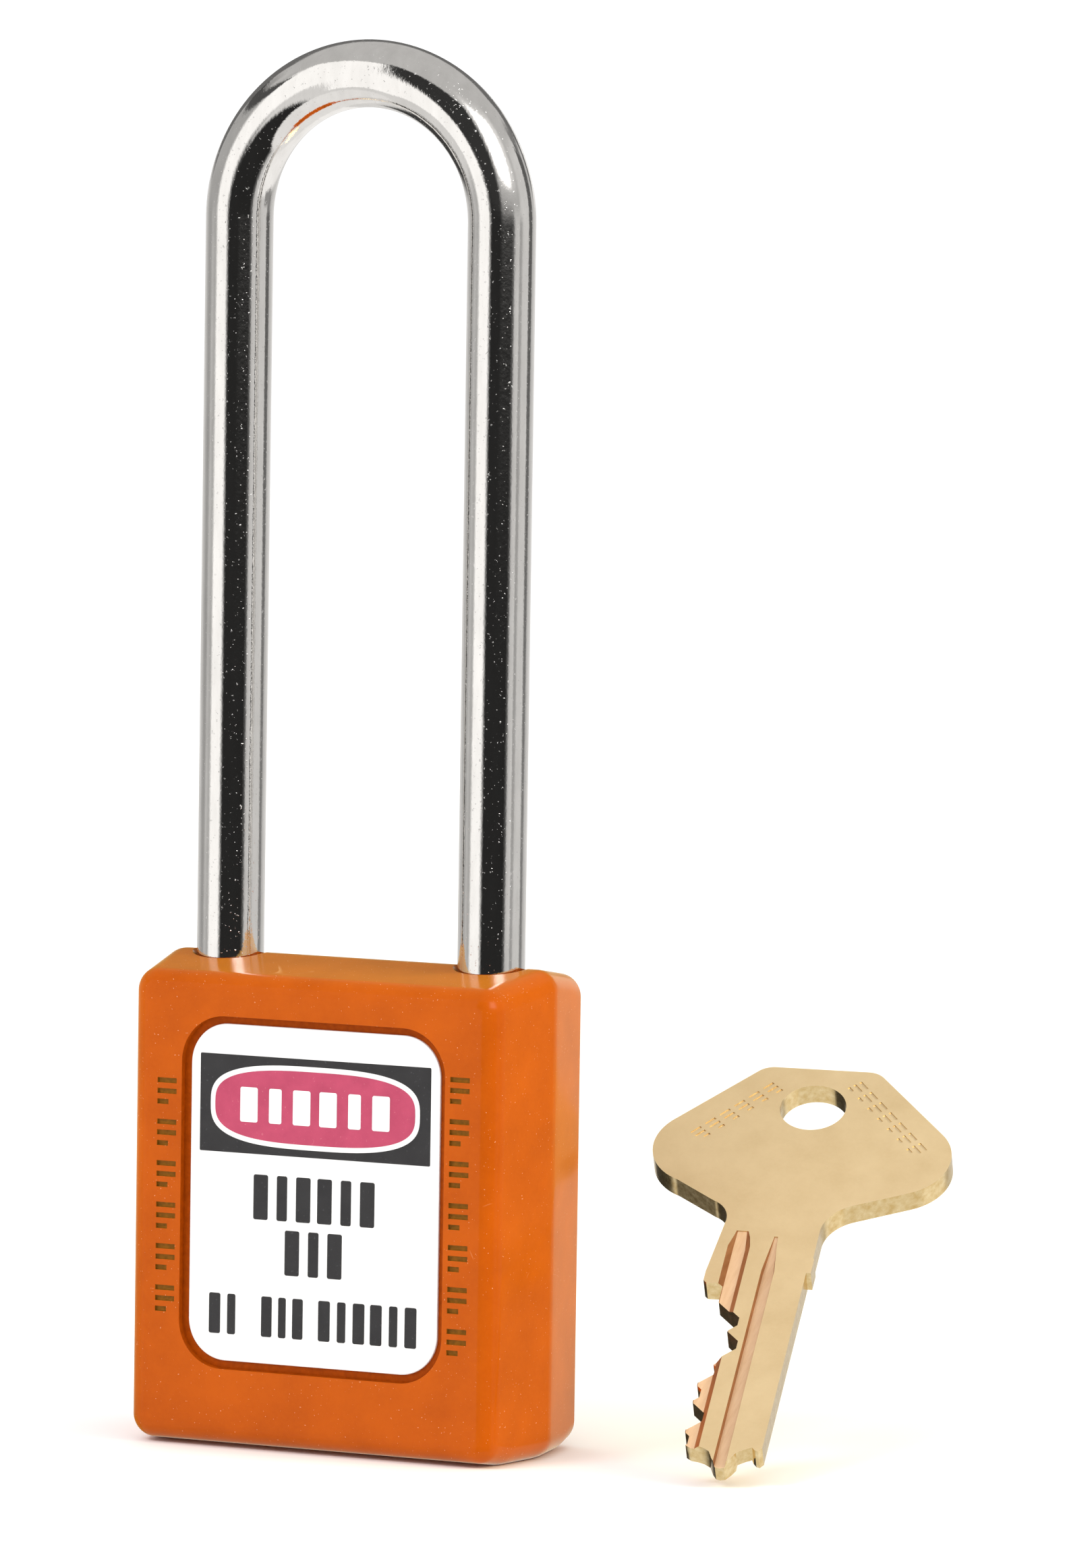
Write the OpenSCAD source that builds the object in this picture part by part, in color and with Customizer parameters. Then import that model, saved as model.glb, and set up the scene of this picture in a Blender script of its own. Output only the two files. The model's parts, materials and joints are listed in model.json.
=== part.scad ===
// Safety padlock with a moulded body, a long round shackle, a six-pin cylinder and its key.
// The padlock stands upright. The origin is the centre of its base, +Z is up and the front
// label faces -Y. It is closed and locked, with the key out and beside it.

/* [Body] */
// Width at the ridge that runs round the body at mid-depth
ridge_w = 38.6; // [38:0.1:42]
// Width of the front and back faces
face_w = 35.6; // [34.5:0.1:36]
// Depth from front face to back face
body_d = 18.2; // [18:0.1:22]
// Height at the ridge
body_h = 43.4; // [43.2:0.1:46]
// How far the top falls from the ridge to the front and back faces
top_fall = 1.3; // [0.5:0.1:1.6]
// How far the underside rises to the front and back faces
base_rise = 0.6; // [0.3:0.1:1]
// Rounding of the edge round each face
edge_r = 1.5; // [0.8:0.1:1.8]

/* [Labels] */
// Width of each label
label_w = 24.5; // [20:0.1:25]
// Height of each label
label_h = 30; // [24:0.5:30.5]
// Height of the label's lower edge above the base
label_z = 7.8; // [7.5:0.1:8.5]
// Depth of the recess for the label
recess_d = 0.8; // [0.5:0.1:1]

/* [Shackle] */
// Diameter of the bar
bar_d = 6; // [5.6:0.1:6.2]
// Distance between the legs' axes
leg_pitch = 25.8; // [25.6:0.1:26.2]
// Clear height from the body to the inside of the bend
clear_h = 75.3; // [30:0.1:80]
// Rise from locked to open
lift = 12; // [11.8:0.1:12.4]

/* [Cylinder] */
// Diameter of the plug
plug_d = 11.2; // [11:0.1:11.4]
// Distance from pin to pin
pin_pitch = 3; // [2.8:0.1:3.2]

/* [Key] */
// Thickness of the key
key_t = 2; // [1.8:0.1:2.2]
// Angle between the key and the surface under its tip
key_tilt = 35; // [10:0.5:60]

/* [Hidden] */

$fn = 64;
eps = 0.01;
half_d = body_d / 2;

// Running clearance on the radius of turned and sliding parts
run_gap = 0.06;

// Body corners, as seen from the front
top_corner_r = 2;
base_corner_r = 2;
least_corner_r = 0.8;
// Half-width of the flat strip along the middle of the base
base_land = 5.3;

// Recess and engraved marks beside it
recess_gap = 0.7;
recess_r = 4.2;
label_r = 3.6;
label_t = 0.25;
mark_widths = [1.9, 1.9, 1.1];
mark_h = 0.45;
mark_drop = 0.95;
mark_d = 0.3;
mark_pitch = 3.7;
mark_x = 14.4;
mark_tops = [32.7, 34.5];
mark_counts = [6, 7];

// Shackle
bar_r = bar_d / 2;
leg_x = leg_pitch / 2;
leg_gap = 0.08;
leg_hole_r = bar_r + leg_gap;
mouth_h = 0.7;
mouth_flare = 0.6;
bend_z = body_h + clear_h + bar_r - leg_x;
toe_z = 32.1;
toe_chamfer = 0.6;
toe_floor_z = 30.2;
heel_z = 10;
heel_chamfer = 0.4;
heel_floor_z = 2.6;
heel_neck_r = 2.2;
heel_pin_r = 1;
heel_pin_z = 27;
heel_pin_x = heel_neck_r + heel_pin_r + 0.05 - leg_x;
heel_pin_reach = 4.5;
heel_neck_margin = heel_pin_r + 0.15;
shackle_coil_r = 2.3;
shackle_wire_r = 0.4;

// Locking balls: each moves in from its notch as the shackle rises
ball_r = 2.5;
ball_z = 36;
ball_x = 8.8;
ball_travel = 4.32;
ball_gap = 0.06;

// Cylinder
pin_count = 6;
plug_r = plug_d / 2;
plug_low_z = 1.95;
nose_r = 4.8;
nose_z = 0.3;
nose_gap = 0.1;
plate_t = 1.9;
plate_w = 31;
plate_d = 13.4;
plate_corner_r = 2;
housing_r = plug_r + 0.9;
housing_top_z = 28.4;
bible_x = 14.4;
bible_half = 3.2;
cover_t = 0.6;
cavity_r = plug_r + 1;
cavity_gap = 0.1;
cavity_top_z = 39.4;
chamber_r = 1.25;
pin_r = 1.19;
pin_z = 5.6;
pin_point_h = 0.7;
pin_point_r = 0.5;
pin_end_gap = 0.04;
driver_length = 3.3;
driver_gap = 0.12;
driver_from = plug_r + driver_gap;
driver_coil_r = 1;
driver_wire_r = 0.16;
keyway_half = 3.75;
keyway_t = 2.4;
keyway_top_z = 27;
keyway_rib_x = -0.7;
keyway_rib_w = 0.8;
keyway_rib_h = 0.5;
clip_t = 0.5;
clip_r = 6.2;
clip_mouth = 5;
clip_gap = 0.02;
neck_r = 4.5;
collar_r = 5.3;
collar_z = 29;
collar_t = 0.5;
tenon_w = 4;
tenon_h = 1.8;
cam_z = collar_z + collar_t;
cam_hub_r = 4;
cam_hub_h = 3.6;
cam_top_z = 38.7;
cam_screw_r = 0.9;
cam_screw_head_r = 1.5;
cam_gap = 0.1;
stack_screw_r = 1.2;
stack_screw_depth = 2.5;
stack_screw_head_r = 2.5;
stack_screw_head_h = 1.6;

// Key, laid out flat with its tip at y = 1 and its bow towards +Y
blade_left = -4.1;
blade_right = 3.1;
shoulder_y = 24.5;
shoulder_x = -5.85;
neck_left = -5.2;
neck_right = 3.4;
bow_round = [8.5, 41.9];
bow_round_r = 5.05;
bow_corner = [4.27, 51.1];
bow_corner_r = 2;
bow_slope = 23.6;
bow_shoulder = 40.5;
key_hole_r = 3;
key_hole_y = 47.9;
key_turn = -1.9;
key_axis_turn = 15.3;
key_tip_x = 39.7;
key_tip_y = -7.9;
key_tip_z = 0.05;
neck_left_curve = [neck_left - 2.6, 32.4];
neck_left_r = 2.6;
neck_right_curve = [neck_right + 4, 31.5];
neck_right_r = 4;
cut_depths = [2.3, 2.7, 1.2, 0.45, 1.25, 0.45];
cut_land = 0.5;
// Grooves along the blade: left side, width, depth and end towards the bow
long_groove = [-0.9, 1.1, 0.6, 30.5];
wide_rebate = [-4.4, 2.2, 0.45, 31];
under_groove = [0.9, 1.2, 0.5, 30];

// Height of pin i, counted from 1 at the bottom of the cylinder
function pin_height(i) = pin_z + (i - 1) * pin_pitch;

// Distance of the key's cut from the plug's axis at pin i
function cut_x(i) = (blade_right - blade_left) / 2 - cut_depths[i - 1];

// Points of an arc about a centre
function arc(c, r, from, to, n = 6) =
    [for (i = [0 : n]) let (a = from + (to - from) * i / n) c + r * [cos(a), sin(a)]];

// Rectangle with upper corners of radius rt and lower corners of radius rb
function outline(w, z0, z1, rt, rb) = concat(
    arc([w / 2 - rb, z0 + rb], rb, -90, 0),
    arc([w / 2 - rt, z1 - rt], rt, 0, 90),
    arc([rt - w / 2, z1 - rt], rt, 90, 180),
    arc([rb - w / 2, z0 + rb], rb, 180, 270));

// Extrusion of an outline in the XZ plane, from depth y towards -Y
module plate_xz(points, y, t) {
    translate([0, y, 0])
        rotate([90, 0, 0])
            linear_extrude(height = t) polygon(points);
}

// ---------- Body ----------

// One cross-section of the body at depth y, made smaller all round by inset
module body_slab(y, inset = 0) {
    f = abs(y) / half_d;
    rise = abs(y) < base_land ? 0 : base_rise * (abs(y) - base_land) / (half_d - base_land);
    w = ridge_w + (face_w - ridge_w) * f - 2 * inset;
    z0 = rise + inset;
    z1 = body_h - top_fall * f - inset;
    points = outline(w, z0, z1, max(top_corner_r - inset, least_corner_r),
                     max(base_corner_r - inset, least_corner_r));
    thin = 0.02;
    plate_xz(points, y > 0 ? y : y + thin, thin);
}

module body_block() {
    hull() {
        body_slab(0);
        for (side = [-1, 1]) {
            body_slab(side * base_land);
            for (a = [0 : 30 : 90])
                body_slab(side * (half_d - edge_r * (1 - cos(a))), edge_r * (1 - sin(a)));
        }
    }
}

// Recess for the label on the face at side -1 (front) or 1 (back)
module label_recess(side) {
    points = outline(label_w + 2 * recess_gap, label_z - recess_gap, label_z + label_h + recess_gap,
                     recess_r, recess_r);
    plate_xz(points, side < 0 ? recess_d - half_d : half_d + 1, recess_d + 1);
}

// Column of engraved marks beside the front label, each of three plain strokes
module mark_column(x, top, count) {
    for (i = [0 : count - 1], k = [0 : 2])
        translate([x - mark_widths[0] / 2, -half_d - 1, top - mark_h - i * mark_pitch - k * mark_drop])
            cube([mark_widths[k], 1 + mark_d, mark_h]);
}

// Space for the cylinder, open at the base
module cylinder_cavity() {
    translate([0, 0, -1]) cylinder(h = cavity_top_z + 1, r = cavity_r);
    translate([0, -bible_half - cavity_gap, -1])
        cube([bible_x + cover_t + cavity_gap, 2 * (bible_half + cavity_gap), housing_top_z + 1 + cavity_gap]);
}

module plate_outline() {
    polygon(outline(plate_w, -plate_d / 2, plate_d / 2, plate_corner_r, plate_corner_r));
}

module body_shell() {
    color("#DD6414") difference() {
        body_block();
        label_recess(-1);
        label_recess(1);
        for (k = [0, 1]) mark_column((2 * k - 1) * mark_x, mark_tops[k], mark_counts[k]);
        cylinder_cavity();
        translate([0, 0, -1]) linear_extrude(height = plate_t + 1) plate_outline();
        // Leg holes with a small countersink
        translate([-leg_x, 0, heel_floor_z]) cylinder(h = body_h, r = leg_hole_r);
        translate([leg_x, 0, toe_floor_z]) cylinder(h = body_h, r = leg_hole_r);
        for (side = [-1, 1])
            translate([side * leg_x, 0, body_h - mouth_h])
                cylinder(h = mouth_h + eps, r1 = leg_hole_r, r2 = leg_hole_r + mouth_flare);
        // Channels for the locking balls
        translate([-leg_x, 0, ball_z]) rotate([0, 90, 0]) cylinder(h = 2 * leg_x, r = ball_r + ball_gap);
        // Screw hole under the toe leg, and the heel pin's hole from the back recess
        translate([leg_x, 0, housing_top_z - 1])
            cylinder(h = toe_floor_z - housing_top_z + 2, r = stack_screw_r + 0.1);
        translate([heel_pin_x, half_d, heel_pin_z])
            rotate([90, 0, 0]) cylinder(h = half_d + heel_pin_reach, r = heel_pin_r);
    }
}

module bottom_plate() {
    color("#C4550F") difference() {
        intersection() {
            body_block();
            linear_extrude(height = plate_t) plate_outline();
        }
        translate([0, 0, -1]) cylinder(h = plate_t + 2, r = nose_r + nose_gap);
    }
}

module label(side) {
    points = outline(label_w, label_z, label_z + label_h, label_r, label_r);
    color("white")
        plate_xz(points, side < 0 ? recess_d - half_d : half_d - recess_d + label_t, label_t);
}

// ---------- Shackle ----------

// Path of a locking ball in the shackle's own frame as the shackle rises
module ball_sweep(side) {
    r = ball_r + ball_gap;
    length = sqrt(lift * lift + ball_travel * ball_travel);
    translate([side * ball_x, 0, ball_z]) {
        sphere(r = r);
        rotate([0, side * -atan2(ball_travel, -lift), 0]) cylinder(h = length, r = r);
    }
}

module shackle() {
    neck_low = heel_pin_z - lift - heel_neck_margin;
    neck_high = heel_pin_z + heel_neck_margin;
    color("silver") difference() {
        union() {
            translate([0, 0, bend_z]) rotate([90, 0, 0])
                rotate_extrude(angle = 180) translate([leg_x, 0]) circle(r = bar_r);
            translate([leg_x, 0, toe_z + toe_chamfer]) cylinder(h = bend_z - toe_z - toe_chamfer, r = bar_r);
            translate([leg_x, 0, toe_z]) cylinder(h = toe_chamfer, r1 = bar_r - toe_chamfer, r2 = bar_r);
            translate([-leg_x, 0, heel_z + heel_chamfer])
                cylinder(h = neck_low - heel_z - heel_chamfer, r = bar_r);
            translate([-leg_x, 0, heel_z]) cylinder(h = heel_chamfer, r1 = bar_r - heel_chamfer, r2 = bar_r);
            translate([-leg_x, 0, neck_low]) cylinder(h = neck_high - neck_low, r = heel_neck_r);
            translate([-leg_x, 0, neck_high]) cylinder(h = bend_z - neck_high, r = bar_r);
        }
        for (side = [-1, 1]) ball_sweep(side);
    }
}

// Round wire wound into an upright coil, as a closed tube of flat facets
module coil(height, coil_r, wire_r, turns, steps, sides) {
    rings = turns * steps;
    rise = (height - 2 * wire_r) / rings;
    points = [for (i = [0 : rings], j = [0 : sides - 1])
        let (a = i * 360 / steps, b = j * 360 / sides, r = coil_r + wire_r * cos(b))
            [r * cos(a), r * sin(a), wire_r + i * rise + wire_r * sin(b)]];
    walls = [for (i = [0 : rings - 1], j = [0 : sides - 1], half = [0, 1])
        let (a = i * sides + j, b = i * sides + (j + 1) % sides)
            half == 0 ? [a, a + sides, b + sides] : [a, b + sides, b]];
    start = [for (j = [0 : sides - 1]) j];
    end = [for (j = [sides - 1 : -1 : 0]) rings * sides + j];
    polyhedron(points, concat(walls, [start], [end]), convexity = 10);
}

module shackle_spring() {
    color("gray") translate([-leg_x, 0, heel_floor_z])
        coil(heel_z - heel_floor_z, shackle_coil_r, shackle_wire_r, 6, 16, 8);
}

module heel_pin() {
    start_y = half_d - recess_d - 0.1;
    color("gray") translate([heel_pin_x, start_y, heel_pin_z])
        rotate([90, 0, 0]) cylinder(h = start_y + heel_pin_reach, r = heel_pin_r);
}

module ball(side) {
    color("lightgray") translate([side * ball_x, 0, ball_z]) sphere(r = ball_r);
}

// ---------- Cylinder ----------

// Radial hole for pin i, from x = from to x = to
module pin_bore(i, from, to, r) {
    translate([from, 0, pin_height(i)]) rotate([0, 90, 0]) cylinder(h = to - from, r = r);
}

module cylinder_housing() {
    color("goldenrod") difference() {
        union() {
            translate([0, 0, plate_t]) cylinder(h = housing_top_z - plate_t, r = housing_r);
            translate([0, -bible_half, plate_t]) cube([bible_x, 2 * bible_half, housing_top_z - plate_t]);
        }
        cylinder(h = housing_top_z + 1, r = plug_r + run_gap);
        for (i = [1 : pin_count]) pin_bore(i, 0, bible_x + 1, chamber_r);
        translate([leg_x, 0, housing_top_z - stack_screw_depth - 0.1])
            cylinder(h = stack_screw_depth + 1, r = stack_screw_r);
    }
}

module cylinder_screw() {
    start_z = housing_top_z - stack_screw_depth;
    color("gray") translate([leg_x, 0, 0]) difference() {
        union() {
            translate([0, 0, start_z]) cylinder(h = toe_floor_z - start_z + 0.1, r = stack_screw_r);
            translate([0, 0, toe_floor_z]) cylinder(h = stack_screw_head_h, r = stack_screw_head_r);
        }
        // Hexagon socket
        translate([0, 0, toe_floor_z + stack_screw_head_h - 1]) cylinder(h = 2, r = stack_screw_r, $fn = 6);
    }
}

module chamber_cover() {
    color("goldenrod") translate([bible_x, -bible_half, plate_t])
        cube([cover_t, 2 * bible_half, housing_top_z - plate_t]);
}

module plug() {
    color("darkgoldenrod") difference() {
        union() {
            translate([0, 0, nose_z]) cylinder(h = plug_low_z - nose_z, r = nose_r);
            translate([0, 0, plug_low_z]) cylinder(h = housing_top_z - plug_low_z, r = plug_r);
            translate([0, 0, housing_top_z]) cylinder(h = collar_z - housing_top_z, r = neck_r);
            translate([0, 0, collar_z]) cylinder(h = collar_t, r = collar_r);
            translate([-tenon_w / 2, -tenon_w / 2, cam_z]) cube([tenon_w, tenon_w, tenon_h]);
        }
        // Keyway, with a rib on one side that fits the key's groove
        difference() {
            translate([-keyway_half, -keyway_t / 2, 0])
                cube([2 * keyway_half, keyway_t, keyway_top_z]);
            translate([keyway_rib_x, keyway_t / 2 - keyway_rib_h, 0]) cube([keyway_rib_w, 1, keyway_top_z]);
        }
        for (i = [1 : pin_count]) pin_bore(i, 0, plug_r + 1, chamber_r);
        translate([0, 0, keyway_top_z + 0.5]) cylinder(h = 10, r = cam_screw_r);
    }
}

// Spring clip in the plug's groove, open on one side
module plug_clip() {
    color("gray") difference() {
        translate([0, 0, housing_top_z + 0.03]) cylinder(h = clip_t, r = clip_r);
        translate([0, 0, housing_top_z - 1]) cylinder(h = 3, r = neck_r + clip_gap);
        translate([-clip_r - 1, -clip_mouth / 2, housing_top_z - 1]) cube([clip_r + 1, clip_mouth, 3]);
    }
}

// Radius of the cam where it just clears a ball at every plug angle
function ball_centre(turn) = ball_x - ball_travel * turn / 90;
function ray_to_ball(a, turn) =
    let (c = ball_centre(turn), d = a + turn, r = ball_r + cam_gap, s = c * sin(d))
        abs(s) < r && cos(d) > 0 ? c * cos(d) - sqrt(r * r - s * s) : 100;
function cam_radius(a) = min(ball_x - ball_r - cam_gap, min([for (t = [0 : 3 : 90]) ray_to_ball(a, t)]));

module cam() {
    cam_profile = [for (a = [-130 : 2.5 : 47.5]) cam_radius(a) * [cos(a), sin(a)]];
    color("darkgoldenrod") difference() {
        union() {
            translate([0, 0, cam_z]) cylinder(h = cam_hub_h, r = cam_hub_r);
            translate([0, 0, cam_z + cam_hub_h])
                linear_extrude(height = cam_top_z - cam_z - cam_hub_h)
                    polygon(concat(cam_profile, [for (p = cam_profile) -p]));
        }
        translate([-tenon_w / 2, -tenon_w / 2, cam_z - eps]) cube([tenon_w, tenon_w, tenon_h + 0.05]);
        cylinder(h = body_h, r = cam_screw_r);
    }
}

module cam_screw() {
    color("gray") {
        translate([0, 0, keyway_top_z + 0.6]) cylinder(h = cam_top_z - keyway_top_z - 0.6, r = cam_screw_r);
        translate([0, 0, cam_top_z]) cylinder(h = 0.5, r = cam_screw_head_r);
    }
}

// Key pin: pointed where it rests on the key, rounded to the plug's surface at the other end
module key_pin(i) {
    x = cut_x(i);
    color("gold") intersection() {
        union() {
            translate([x, 0, pin_height(i)]) rotate([0, 90, 0])
                cylinder(h = pin_point_h, r1 = pin_point_r, r2 = pin_r);
            pin_bore(i, x + pin_point_h, plug_r + 1, pin_r);
        }
        cylinder(h = body_h, r = plug_r - pin_end_gap);
    }
}

module driver_pin(i) {
    color("silver") pin_bore(i, driver_from, driver_from + driver_length, pin_r);
}

module driver_spring(i) {
    from = driver_from + driver_length;
    color("gray") translate([from, 0, pin_height(i)]) rotate([0, 90, 0])
        coil(bible_x - from, driver_coil_r, driver_wire_r, 6, 10, 5);
}

// ---------- Key ----------

// Bow and neck: flat top, straight shoulders, round sides that curve into the neck
module key_bow() {
    low = 90 - bow_slope;
    polygon(concat(
        [[neck_right, shoulder_y + 2.7]],
        arc(neck_right_curve, neck_right_r, 180, 90 + bow_slope),
        arc(bow_round, bow_round_r, -low, bow_shoulder, 10),
        arc(bow_corner, bow_corner_r, bow_shoulder, 90),
        arc([-bow_corner[0], bow_corner[1]], bow_corner_r, 90, 180 - bow_shoulder),
        arc([-bow_round[0], bow_round[1]], bow_round_r, 180 - bow_shoulder, 180 + low, 10),
        arc(neck_left_curve, neck_left_r, low, 0),
        [[shoulder_x, shoulder_y + 1], [shoulder_x + 0.3, shoulder_y - 0.5],
         [blade_left, shoulder_y - 0.5]]));
}

// Toothed edge: a cut with sloping flanks at each pin
module key_cuts() {
    for (i = [1 : pin_count])
        translate([blade_left, shoulder_y - pin_height(i) + nose_z]) {
            d = cut_depths[i - 1];
            half = cut_land + d + 1;
            polygon([[-1, -half], [-1, half], [d, cut_land], [d, -cut_land]]);
        }
}

// Blade with a three-lobed tip
module key_blade() {
    polygon([[blade_right, shoulder_y + 3], [blade_left, shoulder_y + 3],
             [blade_left, 4], [-3.75, 3.5], [-3.3, 3.2], [-2.1, 2.9], [-1.5, 2.5], [-1.1, 1.6],
             [-0.75, 1.1], [-0.35, 1], [0.05, 1.1], [0.5, 1.7], [0.9, 2.5], [1.6, 3],
             [2.2, 3.3], [2.5, 2.95], [2.8, 2.85], [blade_right, 3.3]]);
}

module key_flat() {
    difference() {
        linear_extrude(height = key_t) {
            key_bow();
            difference() {
                key_blade();
                key_cuts();
            }
        }
        translate([0, key_hole_y, -1]) cylinder(h = key_t + 2, r = key_hole_r);
        // Two grooves above and one below
        for (g = [long_groove, wide_rebate])
            translate([g[0], -1, key_t - g[2]]) cube([g[1], g[3] + 1, 1]);
        translate([under_groove[0], -1, under_groove[2] - 1])
            cube([under_groove[1], under_groove[3] + 1, 1]);
    }
}

module key() {
    color("#D9BF85")
        translate([key_tip_x, key_tip_y, key_tip_z])
            rotate([0, 0, key_axis_turn])
                rotate([key_tilt, 0, 0])
                    rotate([0, 0, key_turn]) key_flat();
}

body_shell();
bottom_plate();
label(-1);  // front_label
label(1);  // back_label
shackle();
shackle_spring();
heel_pin();
ball(1);  // toe_ball
ball(-1);  // heel_ball
cylinder_housing();
cylinder_screw();
chamber_cover();
plug();
plug_clip();
cam();
cam_screw();
key();
for (i = [1 : pin_count]) {
    key_pin(i);
    driver_pin(i);
    driver_spring(i);
}
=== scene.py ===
import json
import math

import bmesh
import bpy
from mathutils import Matrix, Vector


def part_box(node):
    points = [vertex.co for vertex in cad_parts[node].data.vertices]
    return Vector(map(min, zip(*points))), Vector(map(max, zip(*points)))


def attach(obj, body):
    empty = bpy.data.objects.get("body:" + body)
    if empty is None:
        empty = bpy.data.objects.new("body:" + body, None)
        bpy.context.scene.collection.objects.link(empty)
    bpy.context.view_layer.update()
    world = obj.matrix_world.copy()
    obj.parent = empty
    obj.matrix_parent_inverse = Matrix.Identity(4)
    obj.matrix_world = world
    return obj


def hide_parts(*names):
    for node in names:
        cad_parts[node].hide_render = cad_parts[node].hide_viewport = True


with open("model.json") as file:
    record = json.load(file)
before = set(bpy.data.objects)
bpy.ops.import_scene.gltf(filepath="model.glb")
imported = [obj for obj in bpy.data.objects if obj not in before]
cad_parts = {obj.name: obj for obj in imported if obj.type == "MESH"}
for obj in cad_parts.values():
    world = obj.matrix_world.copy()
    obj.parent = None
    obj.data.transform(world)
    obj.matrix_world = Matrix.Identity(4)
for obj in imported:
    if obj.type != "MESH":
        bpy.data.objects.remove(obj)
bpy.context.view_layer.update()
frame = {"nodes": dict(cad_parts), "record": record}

MM = 0.001

# ---------- Sizes, in millimetres, worked out from the frame ----------


def node_box(name):
    lo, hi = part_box(name)
    return lo / MM, hi / MM


body_lo, body_hi = node_box("body_shell")
label_lo, label_hi = node_box("front_label")
shackle_lo, shackle_hi = node_box("shackle")
plug_lo, plug_hi = node_box("plug")
plate_lo, plate_hi = node_box("bottom_plate")

RIDGE_W = body_hi.x - body_lo.x
BODY_H = body_hi.z
BODY_D = body_hi.y - body_lo.y
HALF_D = BODY_D / 2
FACE_W = 35.6
TOP_FALL = 1.3
BASE_RISE = 0.6
BASE_LAND = 5.3
EDGE_R = 1.5
TOP_R = 2.0
BASE_R = 2.0
LEAST_R = 0.8

BAR_R = 3.0
LEG_X = (shackle_hi.x - shackle_lo.x) / 2 - BAR_R
BEND_Z = shackle_hi.z - LEG_X - BAR_R
HEEL_Z = shackle_lo.z
TOE_Z = 32.1
NECK_R = 2.2
NECK_LOW, NECK_HIGH = 13.85, 28.15
LEG_HOLE_R = BAR_R + 0.08
HEEL_FLOOR, TOE_FLOOR = 2.6, 30.2
TOE_CHAMFER, HEEL_CHAMFER, NECK_CHAMFER = 0.6, 0.4, 0.15
MOUTH_H, MOUTH_FLARE = 0.7, 0.6
BALL_R, BALL_X, BALL_Z, BALL_GAP = 2.5, 8.8, 36.0, 0.06
BALL_TRAVEL, LIFT = 4.32, 12.0

# Hollow inside the body
PLUG_R = (plug_hi.x - plug_lo.x) / 2
CAVITY_R, CAVITY_TOP = PLUG_R + 1, 39.4
BIBLE_REACH, BIBLE_HALF, BIBLE_TOP = 15.15, 3.3, 28.5
PLATE_CORNER_R = 2.0
SCREW_HOLE_R, SCREW_HOLE_Z, SCREW_HOLE_H = 1.3, 27.4, 4.0
PIN_HOLE_R, PIN_HOLE_Z, PIN_REACH = 1.0, 27.0, 4.5
BODY_BEVEL = 0.28

LABEL_W = label_hi.x - label_lo.x
LABEL_H = label_hi.z - label_lo.z
LABEL_MID = (label_hi.z + label_lo.z) / 2
LABEL_R = 3.6
LABEL_T = label_hi.y - label_lo.y
RECESS_D = 0.8
RECESS_GAP = 0.7
RECESS_R = 4.2
MARK_X = 14.4
MARK_PITCH = 3.7
MARK_WIDTHS = (1.9, 1.9, 1.1)
MARK_H, MARK_DROP, MARK_D = 0.45, 0.95, 0.3
MARK_TOPS, MARK_COUNTS = (32.7, 34.5), (6, 7)

# ---------- Mesh helpers ----------


def piece(name, verts, faces):
    """A mesh object from points in millimetres."""
    mesh = bpy.data.meshes.new(name)
    mesh.from_pydata([tuple(c * MM for c in v) for v in verts], [], faces)
    mesh.validate()
    mesh.update()
    obj = bpy.data.objects.new(name, mesh)
    bpy.context.scene.collection.objects.link(obj)
    return obj


def recalc(obj):
    bm = bmesh.new()
    bm.from_mesh(obj.data)
    bmesh.ops.recalc_face_normals(bm, faces=bm.faces)
    bm.to_mesh(obj.data)
    bm.free()
    return obj


def bake_modifiers(obj):
    """Turns the object's modifiers into mesh."""
    bpy.context.view_layer.update()
    graph = bpy.context.evaluated_depsgraph_get()
    mesh = bpy.data.meshes.new_from_object(obj.evaluated_get(graph), preserve_all_data_layers=True,
                                           depsgraph=graph)
    old = obj.data
    obj.modifiers.clear()
    obj.data = mesh
    mesh.name = obj.name
    bpy.data.meshes.remove(old)
    return obj


def join(name, objects):
    """One object from several closed meshes."""
    bm = bmesh.new()
    for o in objects:
        bm.from_mesh(o.data)
        bpy.data.objects.remove(o)
    mesh = bpy.data.meshes.new(name)
    bm.to_mesh(mesh)
    bm.free()
    obj = bpy.data.objects.new(name, mesh)
    bpy.context.scene.collection.objects.link(obj)
    return obj


def cut(obj, *cutters, operation="DIFFERENCE"):
    for cutter in cutters:
        mod = obj.modifiers.new("cut", "BOOLEAN")
        mod.operation, mod.solver, mod.object = operation, "EXACT", cutter
        mod.use_self = False
    bake_modifiers(obj)
    for cutter in cutters:
        bpy.data.objects.remove(cutter)
    return obj


def arc(cx, cy, r, start, end, steps):
    return [(cx + r * math.cos(math.radians(start + (end - start) * i / steps)),
             cy + r * math.sin(math.radians(start + (end - start) * i / steps))) for i in range(steps + 1)]


def round_rect(w, z0, z1, top_r, low_r, steps=14):
    """Anticlockwise outline, from the lower right corner."""
    h = w / 2
    return (arc(h - low_r, z0 + low_r, low_r, -90, 0, steps) + arc(h - top_r, z1 - top_r, top_r, 0, 90, steps)
            + arc(top_r - h, z1 - top_r, top_r, 90, 180, steps)
            + arc(low_r - h, z0 + low_r, low_r, 180, 270, steps))


def loft(name, rings):
    """Skin over rings that all have the same number of points."""
    n = len(rings[0])
    verts = [p for ring in rings for p in ring]
    faces = [[i * n + j, i * n + (j + 1) % n, (i + 1) * n + (j + 1) % n, (i + 1) * n + j]
             for i in range(len(rings) - 1) for j in range(n)]
    faces += [list(range(n - 1, -1, -1)), list(range((len(rings) - 1) * n, len(rings) * n))]
    return recalc(piece(name, verts, faces))


def slab_xz(name, outline, y0, y1):
    """Outline in the XZ plane, drawn out from depth y0 to y1."""
    return loft(name, [[(x, y, z) for x, z in outline] for y in (y0, y1)])


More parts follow.
